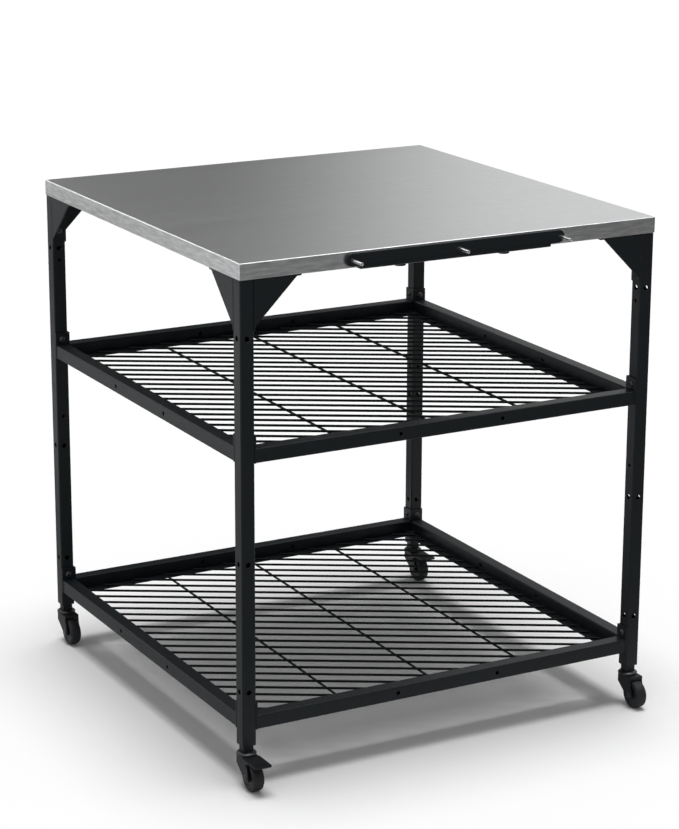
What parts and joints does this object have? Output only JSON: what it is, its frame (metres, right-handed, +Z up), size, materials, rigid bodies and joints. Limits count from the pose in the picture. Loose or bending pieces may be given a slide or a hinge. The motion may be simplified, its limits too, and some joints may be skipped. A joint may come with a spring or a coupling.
{
  "type": "pizza oven table",
  "caption": "Square outdoor oven table on casters: stainless worktop, two wire shelves in a black tube frame and a front bar with tool pegs.",
  "frame": {"origin": "on the floor, in the middle of the whole table's outer box", "axes": "+X right along the front edge, -Y out of the front, where the tool bar is, and +Z up"},
  "size_m": [0.807, 0.8551, 0.9],
  "materials": {
    "stainless_sheet": "brushed",
    "stainless_pin": "polished",
    "powder_coat": "satin powder coat",
    "black_hardware": "black oxide",
    "zinc_hardware": "zinc plated",
    "black_plastic": "moulded, satin",
    "black_steel": "black coated",
    "axle_steel": "dark zinc",
    "black_tyre": "moulded tread"
  },
  "bodies": {
    "table": {"caster_stem_back_left": "black_steel", "caster_stem_back_right": "black_steel", "caster_stem_front_left": "black_steel", "caster_stem_front_right": "black_steel", "frame_bolts": "black_hardware", "gusset_back_left": "powder_coat", "gusset_back_right": "powder_coat", "gusset_front_left": "powder_coat", "gusset_front_right": "powder_coat", "gusset_left_back": "powder_coat", "gusset_left_front": "powder_coat", "gusset_right_back": "powder_coat", "gusset_right_front": "powder_coat", "hand_screw_left": "black_hardware", "hand_screw_right": "black_hardware", "leg_back_left": "powder_coat", "leg_back_right": "powder_coat", "leg_front_left": "powder_coat", "leg_front_right": "powder_coat", "leg_plug_back_left": "black_plastic", "leg_plug_back_right": "black_plastic", "leg_plug_front_left": "black_plastic", "leg_plug_front_right": "black_plastic", "lower_rail_back": "powder_coat", "lower_rail_front": "powder_coat", "lower_rail_left": "powder_coat", "lower_rail_right": "powder_coat", "lower_shelf_angles": "powder_coat", "lower_wire_panel": "powder_coat", "tool_bar": "powder_coat", "tool_pegs": "stainless_pin", "upper_rail_back": "powder_coat", "upper_rail_front": "powder_coat", "upper_rail_left": "powder_coat", "upper_rail_right": "powder_coat", "upper_shelf_angles": "powder_coat", "upper_wire_panel": "powder_coat", "weld_nuts": "zinc_hardware", "worktop_screws": "black_hardware", "worktop_stiffeners": "stainless_sheet", "worktop_tray": "stainless_sheet"},
    "swivel_front_left": {"caster_fork_front_left": "black_plastic", "wheel_axle_front_left": "axle_steel"},
    "wheel_front_left": {"wheel_hub_front_left": "black_plastic", "wheel_tyre_front_left": "black_tyre"},
    "pedal_front_left": {"brake_pedal_front_left": "black_plastic"},
    "swivel_front_right": {"caster_fork_front_right": "black_plastic", "wheel_axle_front_right": "axle_steel"},
    "wheel_front_right": {"wheel_hub_front_right": "black_plastic", "wheel_tyre_front_right": "black_tyre"},
    "swivel_back_left": {"caster_fork_back_left": "black_plastic", "wheel_axle_back_left": "axle_steel"},
    "wheel_back_left": {"wheel_hub_back_left": "black_plastic", "wheel_tyre_back_left": "black_tyre"},
    "swivel_back_right": {"caster_fork_back_right": "black_plastic", "wheel_axle_back_right": "axle_steel"},
    "wheel_back_right": {"wheel_hub_back_right": "black_plastic", "wheel_tyre_back_right": "black_tyre"},
    "pedal_back_right": {"brake_pedal_back_right": "black_plastic"}
  },
  "joints": [
    {"name": "swivel_front_left", "type": "hinge", "parent": "table", "child": "swivel_front_left", "pos_m": [-0.3865, -0.36265, 0.0575], "axis": [0, 0, 1], "continuous": true},
    {"name": "roll_front_left", "type": "hinge", "parent": "swivel_front_left", "child": "wheel_front_left", "pos_m": [-0.3865, -0.38765, 0.025], "axis": [1, 0, 0], "continuous": true},
    {"name": "brake_front_left", "type": "hinge", "parent": "swivel_front_left", "child": "pedal_front_left", "pos_m": [-0.3865, -0.38465, 0.049], "axis": [1, 0, 0], "range_deg": [0, 13]},
    {"name": "swivel_front_right", "type": "hinge", "parent": "table", "child": "swivel_front_right", "pos_m": [0.3865, -0.36265, 0.0575], "axis": [0, 0, 1], "continuous": true},
    {"name": "roll_front_right", "type": "hinge", "parent": "swivel_front_right", "child": "wheel_front_right", "pos_m": [0.3865, -0.38765, 0.025], "axis": [1, 0, 0], "continuous": true},
    {"name": "swivel_back_left", "type": "hinge", "parent": "table", "child": "swivel_back_left", "pos_m": [-0.3865, 0.41035, 0.0575], "axis": [0, 0, 1], "continuous": true},
    {"name": "roll_back_left", "type": "hinge", "parent": "swivel_back_left", "child": "wheel_back_left", "pos_m": [-0.3865, 0.38535, 0.025], "axis": [1, 0, 0], "continuous": true},
    {"name": "swivel_back_right", "type": "hinge", "parent": "table", "child": "swivel_back_right", "pos_m": [0.3865, 0.41035, 0.0575], "axis": [0, 0, 1], "continuous": true},
    {"name": "roll_back_right", "type": "hinge", "parent": "swivel_back_right", "child": "wheel_back_right", "pos_m": [0.3865, 0.38535, 0.025], "axis": [1, 0, 0], "continuous": true},
    {"name": "brake_back_right", "type": "hinge", "parent": "swivel_back_right", "child": "pedal_back_right", "pos_m": [0.3865, 0.38835, 0.049], "axis": [1, 0, 0], "range_deg": [0, 13]}
  ]
}
